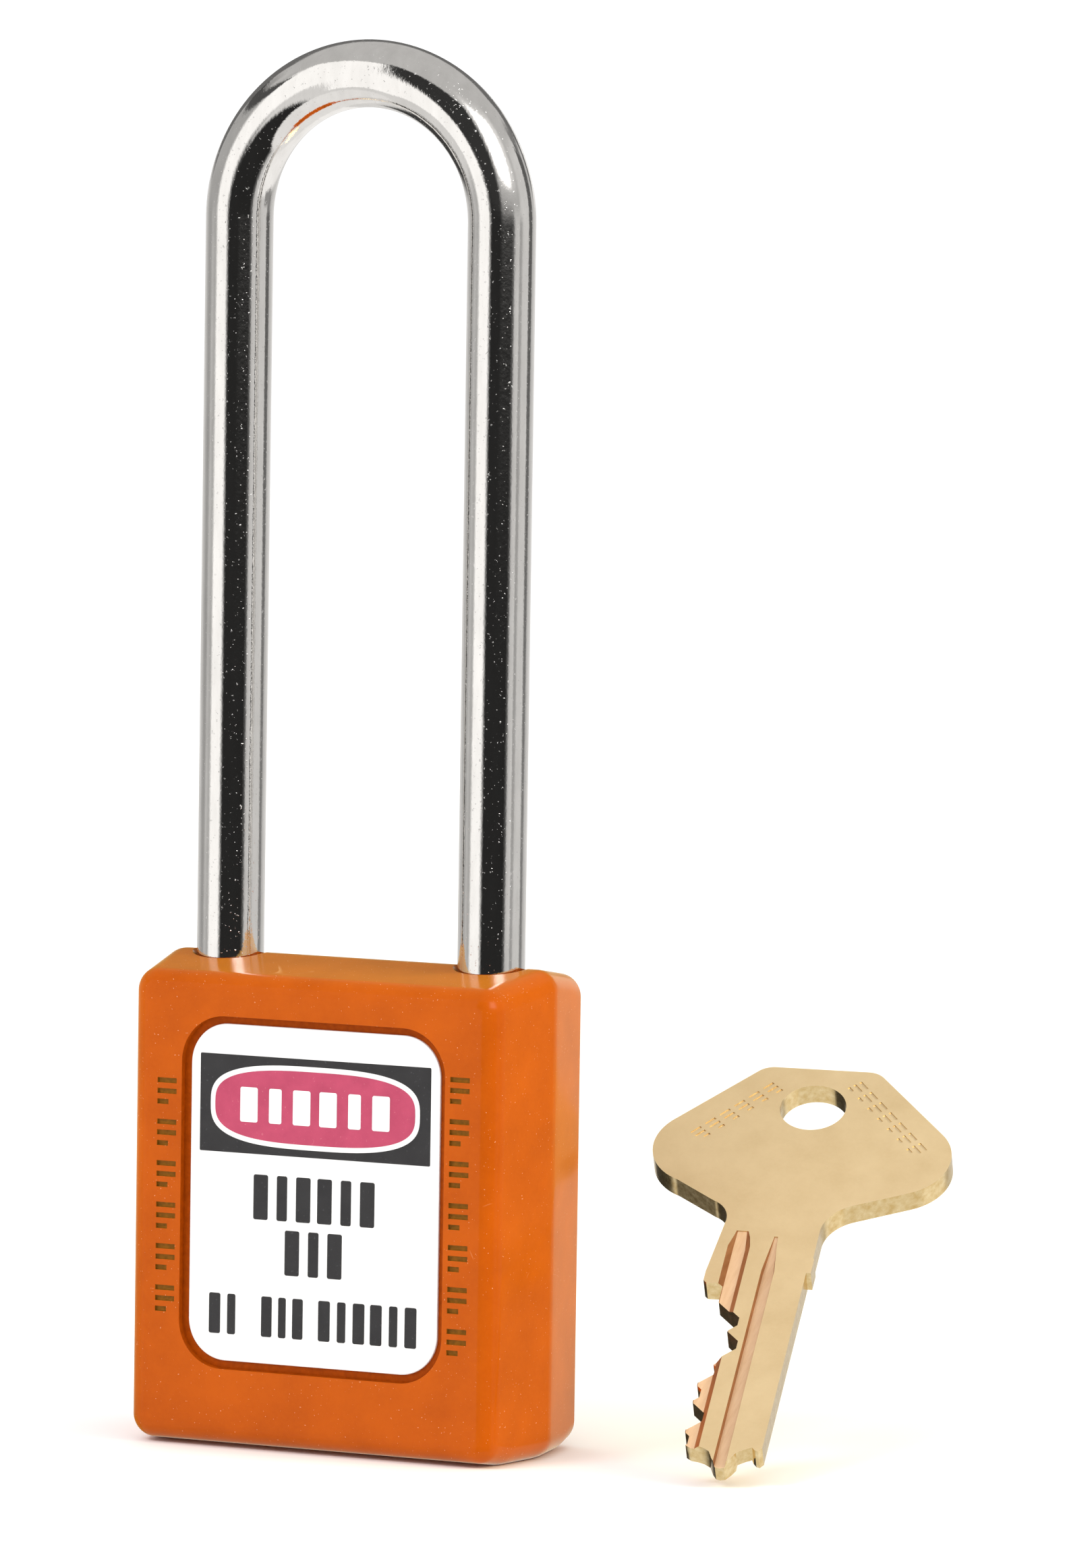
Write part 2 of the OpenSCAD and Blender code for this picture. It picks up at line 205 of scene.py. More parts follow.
def cylinder(name, centre, axis, r0, r1, length, steps=64):
    """A turned cutter from its start point along an axis."""
    turn = Vector((0, 0, 1)).rotation_difference(Vector(axis)).to_matrix()
    rings = []
    for r, z in ((r0, 0), (r1, length)):
        rings.append([tuple(Vector(centre) + turn @ Vector((r * math.cos(a), r * math.sin(a), z)))
                      for a in (2 * math.pi * i / steps for i in range(steps))])
    return loft(name, rings)


def box_cutter(name, lo, hi):
    outline = [(hi[0], lo[2]), (hi[0], hi[2]), (lo[0], hi[2]), (lo[0], lo[2])]
    return slab_xz(name, outline, lo[1], hi[1])


def smooth(obj, angle=None):
    for p in obj.data.polygons:
        p.use_smooth = True
    if angle is not None:
        obj.data.set_sharp_from_angle(angle=math.radians(angle))
    return obj


def soften(obj, weight_of, width, segments=2, sharp=35):
    """Rounds the sharp edges by width times what weight_of says at each edge's middle, in millimetres."""
    mesh = obj.data
    bm = bmesh.new()
    bm.from_mesh(mesh)
    bmesh.ops.dissolve_degenerate(bm, dist=1e-7, edges=bm.edges)
    layer = bm.edges.layers.float.get("bevel_weight_edge") or bm.edges.layers.float.new("bevel_weight_edge")
    for e in bm.edges:
        if len(e.link_faces) == 2 and e.calc_face_angle(0) > math.radians(sharp):
            mid = (e.verts[0].co + e.verts[1].co) / 2 / MM
            e[layer] = weight_of(mid)
    bm.to_mesh(mesh)
    bm.free()
    mod = obj.modifiers.new("soften", "BEVEL")
    mod.limit_method, mod.width, mod.segments = "WEIGHT", width * MM, segments
    mod.use_clamp_overlap = True
    mod.miter_outer = "MITER_ARC"
    bake_modifiers(obj)
    smooth(obj, sharp)
    mod = obj.modifiers.new("normals", "WEIGHTED_NORMAL")
    mod.keep_sharp = True
    mod.weight = 60
    return bake_modifiers(obj)


# ---------- Materials ----------


class Finish:
    """A node material built round one Principled shader, in the object's own coordinates."""

    def __init__(self, name, **sockets):
        self.mat = bpy.data.materials.new(name)
        self.mat.use_nodes = True
        self.tree = self.mat.node_tree
        self.bsdf = self.tree.nodes["Principled BSDF"]
        self.coord = self.node("ShaderNodeTexCoord").outputs["Object"]
        for key, value in sockets.items():
            self.bsdf.inputs[key.replace("_", " ")].default_value = value

    def node(self, kind, **values):
        n = self.tree.nodes.new(kind)
        for key, value in values.items():
            if isinstance(value, bpy.types.NodeSocket):
                self.tree.links.new(value, n.inputs[key])
            elif key in n.inputs:
                n.inputs[key].default_value = value
            else:
                setattr(n, key, value)
        return n

    def link(self, output, name):
        self.tree.links.new(output, self.bsdf.inputs[name])

    def stretch(self, scale):
        """Coordinates scaled along each axis, for grain with a direction."""
        return self.node("ShaderNodeMapping", Vector=self.coord, Scale=scale).outputs[0]

    def noise(self, scale, detail=3.0, rough=0.5, coord=None):
        n = self.node("ShaderNodeTexNoise", Vector=coord or self.coord, Scale=scale, Detail=detail)
        n.inputs["Roughness"].default_value = rough
        return n.outputs["Fac"]

    def ramp(self, fac, *stops):
        """Stops are (position, colour or grey)."""
        n = self.node("ShaderNodeValToRGB", Fac=fac)
        e = n.color_ramp.elements
        while len(e) < len(stops):
            e.new(0.5)
        for item, (position, value) in zip(e, stops):
            item.position = position
            item.color = (value, value, value, 1) if isinstance(value, (int, float)) else (*value, 1)
        return n.outputs["Color"]

    def mix(self, fac, a, b):
        n = self.node("ShaderNodeMix", data_type="RGBA")
        for key, value in (("Factor", fac), ("A", a), ("B", b)):
            socket = [s for s in n.inputs if s.enabled and s.name == key
                      and (s.type == "RGBA" or key == "Factor")][0]
            if isinstance(value, bpy.types.NodeSocket):
                self.tree.links.new(value, socket)
            else:
                socket.default_value = value if isinstance(value, (int, float)) else (*value, 1)
        return [s for s in n.outputs if s.type == "RGBA"][0]

    def hairlines(self, scale, rarity):
        """Thin curved scratches: the level lines of one noise, kept where another is high."""
        level = self.noise(scale, 1, 0.4)
        line = self.ramp(level, (0.494, 0.0), (0.4975, 1.0), (0.501, 0.0))
        patch = self.ramp(self.noise(scale * 2.3, 2, 0.5), (rarity, 0.0), (rarity + 0.05, 1.0))
        both = self.node("ShaderNodeMath", operation="MULTIPLY")
        for socket, value in zip(both.inputs, (line, patch)):
            self.tree.links.new(value, socket)
        return both.outputs[0]

    def span(self, value, low, high):
        """A 0 to 1 value stretched to low..high."""
        return self.node("ShaderNodeMapRange", Value=value, **{"To Min": low, "To Max": high}).outputs[0]

    def bump(self, height, strength, depth_mm, under=None):
        n = self.node("ShaderNodeBump", Height=height, Strength=strength, Distance=depth_mm * MM)
        if under is not None:
            self.tree.links.new(under, n.inputs["Normal"])
        return n.outputs[0]


def orange_plastic():
    f = Finish("orange_plastic", Specular_IOR_Level=0.06, Coat_Weight=0.14, Coat_Roughness=0.09,
               Sheen_Weight=0.30, Sheen_Roughness=0.40, Sheen_Tint=(1.0, 0.84, 0.10, 1))
    cloud = f.noise(160, 4, 0.55)
    grain = f.noise(2600, 3, 0.6)
    tone = f.ramp(cloud, (0.32, (0.390, 0.061, 0.0008)), (0.68, (0.492, 0.084, 0.0016)))
    tone = f.mix(f.span(grain, 0, 0.45), tone, (0.53, 0.104, 0.003))
    specks = f.ramp(f.noise(6400, 1, 0.4), (0.75, 0.0), (0.78, 0.6))
    tone = f.mix(specks, tone, (0.84, 0.50, 0.28))
    f.link(f.mix(f.hairlines(95, 0.66), tone, (0.74, 0.32, 0.12)), "Base Color")
    f.link(f.span(f.noise(420, 4, 0.6), 0.14, 0.26), "Roughness")
    normal = f.bump(grain, 0.22, 0.02)
    f.link(f.bump(cloud, 0.10, 0.25, normal), "Normal")
    return f.mat


def engraved_painted_shade():
    """Floors of the engraved strokes, painted darker as shade in the strokes."""
    f = Finish("engraved_painted_shade", Roughness=0.6, Specular_IOR_Level=0.2)
    grain = f.noise(2600, 3, 0.6)
    f.link(f.ramp(grain, (0.3, (0.20, 0.085, 0.003)), (0.7, (0.34, 0.125, 0.005))), "Base Color")
    f.link(f.bump(grain, 0.3, 0.03), "Normal")
    return f.mat


def recess_painted_shade():
    """Walls and floor of the label recesses, painted darker as shade in the recess."""
    f = Finish("recess_painted_shade", Roughness=0.45, Specular_IOR_Level=0.06)
    grain = f.noise(1900, 4, 0.6)
    f.link(f.ramp(grain, (0.3, (0.290, 0.045, 0.0006)), (0.7, (0.390, 0.062, 0.0010))), "Base Color")
    f.link(f.bump(grain, 0.2, 0.02), "Normal")
    return f.mat


def chrome():
    f = Finish("chromed_steel", Metallic=1.0)
    drawn = f.noise(900, 4, 0.6, f.stretch((1, 1, 0.25)))
    tone = f.ramp(drawn, (0.3, (0.80, 0.785, 0.765)), (0.7, (0.90, 0.885, 0.865)))
    specks = f.ramp(f.noise(4200, 2, 0.5), (0.68, 0.0), (0.74, 0.7))
    marks = f.mix(f.hairlines(140, 0.64), specks, (0.5, 0.5, 0.5))
    f.link(f.mix(marks, tone, (0.95, 0.94, 0.92)), "Base Color")
    haze = f.span(f.noise(260, 4, 0.6, f.stretch((1, 1, 0.15))), 0.02, 0.09)
    f.link(f.mix(marks, haze, (0.5, 0.5, 0.5)), "Roughness")
    ripple = f.bump(f.noise(2800, 3, 0.6, f.stretch((1, 1, 0.7))), 0.55, 0.012)
    f.link(f.bump(marks, 0.6, 0.02, ripple), "Normal")
    return f.mat


def key_brass():
    f = Finish("key_brass", Metallic=0.55)
    tone = f.ramp(f.noise(210, 5, 0.6), (0.3, (0.73, 0.535, 0.285)), (0.7, (0.83, 0.63, 0.36)))
    fine = f.noise(3000, 3, 0.6)
    f.link(f.mix(f.span(fine, 0, 0.3), tone, (0.88, 0.72, 0.46)), "Base Color")
    f.link(f.span(f.noise(700, 4, 0.65), 0.24, 0.40), "Roughness")
    normal = f.bump(fine, 0.18, 0.015)
    f.link(f.bump(f.noise(420, 5, 0.7), 0.10, 0.06, normal), "Normal")
    return f.mat


def edge_brass():
    """The key's stamped and milled edges: bare, slightly rough metal."""
    f = Finish("edge_brass", Metallic=1.0)
    fine = f.noise(1500, 4, 0.6)
    f.link(f.ramp(fine, (0.3, (0.70, 0.49, 0.20)), (0.7, (0.92, 0.74, 0.42))), "Base Color")
    f.link(f.span(fine, 0.10, 0.28), "Roughness")
    f.link(f.bump(fine, 0.18, 0.015), "Normal")
    return f.mat


def cut_brass(name, low, high):
    """Milled brass: coppery, with lines along the cutter's way."""
    f = Finish(name, Metallic=0.45)
    lines = f.noise(2400, 4, 0.7, f.stretch((1, 0.12, 0.12)))
    f.link(f.ramp(lines, (0.3, low), (0.7, high)), "Base Color")
    f.link(f.span(lines, 0.30, 0.48), "Roughness")
    f.link(f.bump(lines, 0.35, 0.02), "Normal")
    return f.mat


def machined_brass():
    f = Finish("machined_brass", Metallic=1.0)
    rings = f.noise(1600, 3, 0.6, f.stretch((0.4, 0.4, 2.5)))
    f.link(f.ramp(rings, (0.3, (0.60, 0.43, 0.16)), (0.7, (0.74, 0.56, 0.25))), "Base Color")
    f.link(f.span(f.noise(600, 3), 0.2, 0.36), "Roughness")
    f.link(f.bump(rings, 0.25, 0.02), "Normal")
    return f.mat


def spring_steel():
    f = Finish("spring_steel", Metallic=1.0)
    fine = f.noise(2400, 4, 0.6)
    f.link(f.ramp(fine, (0.3, (0.42, 0.42, 0.43)), (0.7, (0.60, 0.60, 0.60))), "Base Color")
    f.link(f.span(f.noise(800, 3), 0.22, 0.38), "Roughness")
    f.link(f.bump(fine, 0.2, 0.01), "Normal")
    return f.mat


def printed(name, low, high, rough, speck=None):
    """Label sheet or ink: a slight grain, and pale specks where the ink is thin."""
    f = Finish(name, Specular_IOR_Level=0.5)
    tone = f.ramp(f.noise(500, 4, 0.6), (0.3, low), (0.7, high))
    if speck:
        dots = f.ramp(f.noise(3600, 2, 0.5), (0.66, 0.0), (0.74, 0.35))
        tone = f.mix(dots, tone, speck)
    f.link(tone, "Base Color")
    f.link(f.span(f.noise(900, 3), rough - 0.05, rough + 0.08), "Roughness")
    f.link(f.bump(f.noise(1800, 3, 0.6), 0.12, 0.01), "Normal")
    return f.mat


PLASTIC, ENGRAVED_SHADE, CHROME, BRASS = orange_plastic(), engraved_painted_shade(), chrome(), key_brass()
EDGE_BRASS = edge_brass()
GROOVE_FLOOR = cut_brass("groove_floor", (0.82, 0.52, 0.29), (0.95, 0.66, 0.41))
# The groove walls are milled brass painted dark brown as shade; the groove floors keep the milled colour.
GROOVE_WALL_SHADE = cut_brass("groove_wall_painted_shade", (0.30, 0.115, 0.035), (0.44, 0.19, 0.07))
MACHINED, STEEL, RECESS = machined_brass(), spring_steel(), recess_painted_shade()
SHEET = printed("label_sheet", (0.79, 0.79, 0.80), (0.85, 0.85, 0.855), 0.34)
CHARCOAL = printed("charcoal_ink", (0.015, 0.014, 0.016), (0.022, 0.021, 0.023), 0.36, (0.10, 0.10, 0.11))
CRIMSON = printed("crimson_ink", (0.42, 0.038, 0.100), (0.50, 0.054, 0.125), 0.36, (0.66, 0.24, 0.30))


def paint(obj, *materials):
    slots = obj.data.materials
    for i, m in enumerate(materials):
        if i < len(slots):
            slots[i] = m
        else:
            slots.append(m)
    return obj


# ---------- Body ----------


def body_ring(y, inset=0.0):
    f = abs(y) / HALF_D
    rise = BASE_RISE * max(0.0, abs(y) - BASE_LAND) / (HALF_D - BASE_LAND)
    w = RIDGE_W + (FACE_W - RIDGE_W) * f - 2 * inset
    outline = round_rect(w, rise + inset, BODY_H - TOP_FALL * f - inset,
                         max(TOP_R - inset, LEAST_R), max(BASE_R - inset, LEAST_R))
    return [(x, y, z) for x, z in outline]


def body_block():
    rings = []
    steps = 10
    for i in range(steps + 1):
        a = math.radians(90 * i / steps)
        rings.append((HALF_D - EDGE_R * (1 - math.cos(a)), EDGE_R * (1 - math.sin(a))))
    rings += [(BASE_LAND + 0.4, 0.0), (BASE_LAND - 0.4, 0.0), (1.2, 0.0), (0.45, 0.0), (0.15, 0.03)]
    back = [body_ring(y, inset) for y, inset in rings]
    front = [body_ring(-y, inset) for y, inset in rings]
    return loft("body_moulding", front + back[::-1])


def mark_column(x, top, count):
    out = []
    for i in range(count):
        for k, w in enumerate(MARK_WIDTHS):
            z = top - i * MARK_PITCH - k * MARK_DROP
            out.append(box_cutter("mark", (x - MARK_WIDTHS[0] / 2, -HALF_D - 1, z - MARK_H),
                                  (x - MARK_WIDTHS[0] / 2 + w, -HALF_D + MARK_D, z)))
    return out


def recess(side):
    half = LABEL_H / 2 + RECESS_GAP
    outline = round_rect(LABEL_W + 2 * RECESS_GAP, LABEL_MID - half, LABEL_MID + half, RECESS_R, RECESS_R)
    floor = side * (HALF_D - RECESS_D)
    return slab_xz("recess", outline, floor, side * (HALF_D + 1))


def in_recess(c):
    """True below the rounded rim of a label recess."""
    deep = HALF_D - RECESS_D - 0.05 < abs(c.y) < HALF_D - 0.1
    reach = RECESS_GAP + 0.05
    return deep and abs(c.x) < LABEL_W / 2 + reach and abs(c.z - LABEL_MID) < LABEL_H / 2 + reach


def build_body():
    body = body_block()
    cut(body, recess(-1), recess(1))
    cut(body, join("marks", mark_column(-MARK_X, MARK_TOPS[0], MARK_COUNTS[0])
                          + mark_column(MARK_X, MARK_TOPS[1], MARK_COUNTS[1])))
    hollow = [cylinder("cavity", (0, 0, -1), (0, 0, 1), CAVITY_R, CAVITY_R, CAVITY_TOP + 1)]
    hollow.append(box_cutter("bible", (0, -BIBLE_HALF, -1), (BIBLE_REACH, BIBLE_HALF, BIBLE_TOP)))
    half = (plate_hi.x - plate_lo.x) / 2
    deep = (plate_hi.y - plate_lo.y) / 2
    outline = round_rect(2 * half, -deep, deep, PLATE_CORNER_R, PLATE_CORNER_R)
    hollow.append(loft("plate_seat", [[(x, y, z) for x, y in outline] for z in (-1, plate_hi.z)]))
    hollow.append(cylinder("heel_hole", (-LEG_X, 0, HEEL_FLOOR), (0, 0, 1), LEG_HOLE_R, LEG_HOLE_R, BODY_H))
    hollow.append(cylinder("toe_hole", (LEG_X, 0, TOE_FLOOR), (0, 0, 1), LEG_HOLE_R, LEG_HOLE_R, BODY_H))
    for side in (-1, 1):
        hollow.append(cylinder("mouth", (side * LEG_X, 0, BODY_H - MOUTH_H), (0, 0, 1),
                               LEG_HOLE_R, LEG_HOLE_R + MOUTH_FLARE, 1))
    r = BALL_R + BALL_GAP
    hollow.append(cylinder("ball_channel", (-LEG_X, 0, BALL_Z), (1, 0, 0), r, r, 2 * LEG_X))
    hollow.append(cylinder("screw_hole", (LEG_X, 0, SCREW_HOLE_Z), (0, 0, 1),
                           SCREW_HOLE_R, SCREW_HOLE_R, SCREW_HOLE_H))
    hollow.append(cylinder("pin_hole", (-LEG_X + NECK_R + PIN_HOLE_R + 0.05, HALF_D, PIN_HOLE_Z), (0, -1, 0),
                           PIN_HOLE_R, PIN_HOLE_R, HALF_D + PIN_REACH))
    cut(body, *hollow)

    def weight(mid):
        """Sharper round the marks and the recess floor, softer round the recess rim and the leg holes."""
        if abs(abs(mid.y) - HALF_D) < 0.02:
            return 0.42 if abs(mid.x) > LABEL_W / 2 + 0.9 else 1.0
        if abs(mid.y) > HALF_D - RECESS_D - 0.05 and abs(mid.y) < HALF_D:
            return 0.35
        if mid.z > BODY_H - 2.5 and abs(abs(mid.x) - LEG_X) < 4.5:
            return 0.7
        return 0.0

    soften(body, weight, BODY_BEVEL, segments=3)
    for p in body.data.polygons:
        c = p.center / MM
        sunk = MARK_D * 0.15 < c.y + HALF_D < MARK_D + 0.05
        beside = abs(abs(c.x) - MARK_X) < MARK_WIDTHS[0] * 0.6
        # Stroke floors take slot 1, plastic painted darker as shade in the strokes.
        p.material_index = 1 if sunk and beside else 0
        # Recess walls and floor take slot 2, plastic painted darker as shade in the recess.
        if in_recess(c):
            p.material_index = 2
    paint(body, PLASTIC, ENGRAVED_SHADE, RECESS)
    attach(body, "padlock_body")
    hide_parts("body_shell")
    return body


# ---------- Shackle ----------


def ball_notch(side):
    """The space that a locking ball sweeps through the leg as the shackle rises."""
    bm = bmesh.new()
    shift = Vector((-side * BALL_TRAVEL, 0, -LIFT)) * MM
    start = Vector((side * BALL_X, 0, BALL_Z)) * MM
    for p in (start, start + shift):
        bmesh.ops.create_icosphere(bm, subdivisions=4, radius=(BALL_R + BALL_GAP) * MM,
                                   matrix=Matrix.Translation(p))
    hull = bmesh.ops.convex_hull(bm, input=bm.verts)
    bmesh.ops.delete(bm, geom=[g for g in hull["geom_interior"] if g.is_valid], context="VERTS")
    mesh = bpy.data.meshes.new("notch")
    bm.to_mesh(mesh)
    bm.free()
    notch = bpy.data.objects.new("notch", mesh)
    bpy.context.scene.collection.objects.link(notch)
    return recalc(notch)


def build_shackle():
    sides = 72
    path = []  # (centre, direction to the first side, direction to the second side, radius)

    def straight(x, z, r):
        path.append((Vector((x, 0, z)), Vector((1, 0, 0)), Vector((0, 1, 0)), r))

    straight(LEG_X, TOE_Z, BAR_R - TOE_CHAMFER)
    straight(LEG_X, TOE_Z + TOE_CHAMFER, BAR_R)
    for z in (40, 60, 80, 100):
        straight(LEG_X, z, BAR_R)
    steps = 72
    for i in range(steps + 1):
        a = math.pi * i / steps
        out = Vector((math.cos(a), 0, math.sin(a)))
        path.append((Vector((0, 0, BEND_Z)) + LEG_X * out, out, Vector((0, 1, 0)), BAR_R))

    def heel(z, r):
        """Past the bend the first side points to -X, so the rings keep their order."""
        path.append((Vector((-LEG_X, 0, z)), Vector((-1, 0, 0)), Vector((0, 1, 0)), r))

    for z in (100, 80, 60, 40):
        heel(z, BAR_R)
    heel(NECK_HIGH + NECK_CHAMFER, BAR_R)
    heel(NECK_HIGH, BAR_R - NECK_CHAMFER)
    heel(NECK_HIGH, NECK_R)
    heel(NECK_LOW, NECK_R)
    heel(NECK_LOW, BAR_R - NECK_CHAMFER)
    heel(NECK_LOW - NECK_CHAMFER, BAR_R)
    heel(HEEL_Z + HEEL_CHAMFER, BAR_R)
    heel(HEEL_Z, BAR_R - HEEL_CHAMFER)
    rings = []
    for centre, u, v, r in path:
        rings.append([tuple(centre + r * (math.cos(t) * u + math.sin(t) * v))
                      for t in (2 * math.pi * k / sides for k in range(sides))])
    bar = loft("shackle_bar", rings)
    cut(bar, ball_notch(-1), ball_notch(1))
    smooth(bar, 30)
    paint(bar, CHROME)
    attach(bar, "shackle")
    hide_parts("shackle")
    return bar


# ---------- Labels ----------

BAND_W, BAND_H, BAND_DROP = 22.7, 8.7, 2.7
RING_W, RING_H, RING_T = 20.6, 7.4, 0.45
INK_T = 0.014


def oval(w, h, mid_z, power=3.0, steps=96):
    """A flattened oval, fuller at its corners than an ellipse."""
    out = []
    for i in range(steps):
        a = 2 * math.pi * i / steps
        c, s = math.cos(a), math.sin(a)
        out.append((w / 2 * math.copysign(abs(c) ** (2 / power), c),
                    mid_z + h / 2 * math.copysign(abs(s) ** (2 / power), s)))
    return out


def bars(width, height, mid_x, mid_z, count, fill):
    """A row of plain upright bars that fills a width; every third is narrower."""
    pitch = width / count
    out = []
    for i in range(count):
        w = pitch * fill * (0.72 if i % 3 == 1 else 1.0)
        x = mid_x - width / 2 + (i + 0.5) * pitch
        r = min(0.18, w / 3)
        out.append([(x + a, b) for a, b in round_rect(w, mid_z - height / 2, mid_z + height / 2, r, r, 4)])
    return out


def build_label(name, node, side):
    """Label sheet with its print: a dark band, a ringed crimson oval and rows of plain bars."""
    mid, top = LABEL_MID, LABEL_MID + LABEL_H / 2
    inner = side * (HALF_D - RECESS_D)
    face = inner + side * LABEL_T
    band_mid = top - BAND_DROP - BAND_H / 2
    layers = []

    def layer(outline, level, material):
        base = face + side * INK_T * (level - 0.5)
        layers.append((slab_xz("ink", outline, base, face + side * INK_T * level), material))

    h = LABEL_H / 2
    sheet = slab_xz("sheet", round_rect(LABEL_W, mid - h, mid + h, LABEL_R, LABEL_R, 24), inner, face)
    soften(sheet, lambda m: 1.0 if abs(m.y - face) < 0.01 else 0.0, 0.08)
    layers.append((sheet, 0))
    layer(round_rect(BAND_W, band_mid - BAND_H / 2, band_mid + BAND_H / 2, 0.12, 0.12, 3), 1, 1)
    layer(oval(RING_W, RING_H, band_mid), 2, 0)
    layer(oval(RING_W - 2 * RING_T, RING_H - 2 * RING_T, band_mid), 3, 2)
    for outline in bars(15.6, 3.1, 0, band_mid, 6, 0.66):
        layer(outline, 4, 0)
    for outline in bars(12.6, 4.0, 0, top - 15.2, 6, 0.68):
        layer(outline, 1, 1)
    for outline in bars(6.3, 4.0, 0, top - 20.0, 3, 0.68):
        layer(outline, 1, 1)
    for mid_x, width, count in ((-8.85, 3.3, 2), (-3.0, 4.6, 3), (5.4, 10.2, 6)):
        for outline in bars(width, 3.6, mid_x, top - 25.8, count, 0.68):
            layer(outline, 1, 1)
    for o, index in layers:
        for p in o.data.polygons:
            p.material_index = index
    label = join(name, [o for o, index in layers])
    smooth(label, 40)
    paint(label, SHEET, CHARCOAL, CRIMSON)
    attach(label, "padlock_body")
    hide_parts(node)
    return label


# ---------- Key ----------

KEY_T = 2.0
KEY_TILT, KEY_TURN, KEY_AXIS_TURN = 35.0, -1.9, 15.3
KEY_HOLE_R, KEY_HOLE_Y = 3.0, 47.9
BLADE_LEFT, BLADE_RIGHT = -4.1, 3.1
SHOULDER_Y, SHOULDER_X = 24.5, -5.85
NECK_LEFT, NECK_RIGHT = -5.2, 3.4
BOW_ROUND, BOW_ROUND_R = (8.5, 41.9), 5.05
BOW_CORNER, BOW_CORNER_R = (4.27, 51.1), 2.0
BOW_SLOPE, BOW_SHOULDER = 23.6, 40.5
CUT_DEPTHS, CUT_LAND = (2.3, 2.7, 1.2, 0.45, 1.25, 0.45), 0.5
KEY_MARK_WIDTHS, KEY_MARK_T, KEY_MARK_D = (1.15, 1.15, 0.65), 0.26, 0.1
KEY_MARK_PITCH, KEY_MARK_COUNTS = 1.7, (6, 7)
# Where the grooves along the blade end, towards the bow
REBATE_END, GROOVE_END, UNDER_END = 31.0, 30.5, 30.0
KEY_BEVEL = 0.12
PIN_Z, PIN_PITCH, NOSE_Z = 5.6, 3.0, plug_lo.z


def key_place():
    """The key's place: its hole is a mount in the record, and its slant is the CAD's."""
    turn = (Matrix.Rotation(math.radians(KEY_AXIS_TURN), 4, "Z")
            @ Matrix.Rotation(math.radians(KEY_TILT), 4, "X")
            @ Matrix.Rotation(math.radians(KEY_TURN), 4, "Z"))
    mount = [m for m in frame["record"]["mounts"] if m["name"] == "key_ring_hole"][0]
    hole = Vector(mount["pos_m"])
    return Matrix.Translation(hole - turn @ (Vector((0, KEY_HOLE_Y, KEY_T / 2)) * MM)) @ turn


def blade_outline():
    """Blade with a three-lobed tip."""
    tip = [(BLADE_LEFT, 4.0), (-3.75, 3.5), (-3.3, 3.2), (-2.7, 3.1), (-2.1, 2.9), (-1.5, 2.5),
           (-1.1, 1.6), (-0.75, 1.1), (-0.35, 1.0), (0.05, 1.1), (0.5, 1.7), (0.9, 2.5), (1.6, 3.0),
           (2.2, 3.3), (2.5, 2.95), (2.8, 2.85), (BLADE_RIGHT, 3.3)]
    return [(BLADE_RIGHT, SHOULDER_Y + 3), (BLADE_LEFT, SHOULDER_Y + 3)] + tip


def key_cuts():
    """A cutter for each pin's cut, with sloping flanks."""
    out = []
    for i, d in enumerate(CUT_DEPTHS):
        y = SHOULDER_Y - (PIN_Z + i * PIN_PITCH) + NOSE_Z
        half = CUT_LAND + d + 1
        out.append([(BLADE_LEFT + d, y - CUT_LAND), (BLADE_LEFT + d, y + CUT_LAND),
                    (BLADE_LEFT - 1, y + half), (BLADE_LEFT - 1, y - half)])
    return out


def extrude_xy(name, outline, z0, z1):
    return loft(name, [[(x, y, z) for x, y in outline] for z in (z0, z1)])


def bow_outline():
    low = 90 - BOW_SLOPE
    bx, by = BOW_ROUND
    cx, cy = BOW_CORNER
    stop_x, stop_y = NECK_RIGHT + 0.12, SHOULDER_Y + 1.5
    return ([(BLADE_RIGHT, stop_y), (stop_x, stop_y), (stop_x, stop_y + 1.8), (NECK_RIGHT, stop_y + 2.0),
             (NECK_RIGHT, stop_y + 2.7)]
            + arc(NECK_RIGHT + 4, 31.5, 4, 180, 90 + BOW_SLOPE, 18)
            + arc(bx, by, BOW_ROUND_R, -low, BOW_SHOULDER, 30)
            + arc(cx, cy, BOW_CORNER_R, BOW_SHOULDER, 90, 12)
            + arc(-cx, cy, BOW_CORNER_R, 90, 180 - BOW_SHOULDER, 12)
            + arc(-bx, by, BOW_ROUND_R, 180 - BOW_SHOULDER, 180 + low, 30)
            + arc(NECK_LEFT - 2.6, 32.4, 2.6, low, 0, 12)
            + [(SHOULDER_X, SHOULDER_Y + 1), (SHOULDER_X, SHOULDER_Y - 0.2),
               (SHOULDER_X + 0.3, SHOULDER_Y - 0.5), (BLADE_LEFT, SHOULDER_Y - 0.5)])


def channel(name, profile, y0, y1, taper=0.0, narrow=1.0):
    """A groove's cutter: profile in (x, z), along the key from y0 to y1, running out over its last taper."""
    mid = sum(x for x, z in profile) / len(profile)
    rings = [[(x, y, z) for x, z in profile] for y in ((y0, y1 - taper) if taper else (y0, y1))]
    if taper:
        rings.append([(mid + (x - mid) * narrow, y1, z if z > KEY_T else KEY_T - (KEY_T - z) * 0.2)
                      for x, z in profile])
    return loft(name, rings)


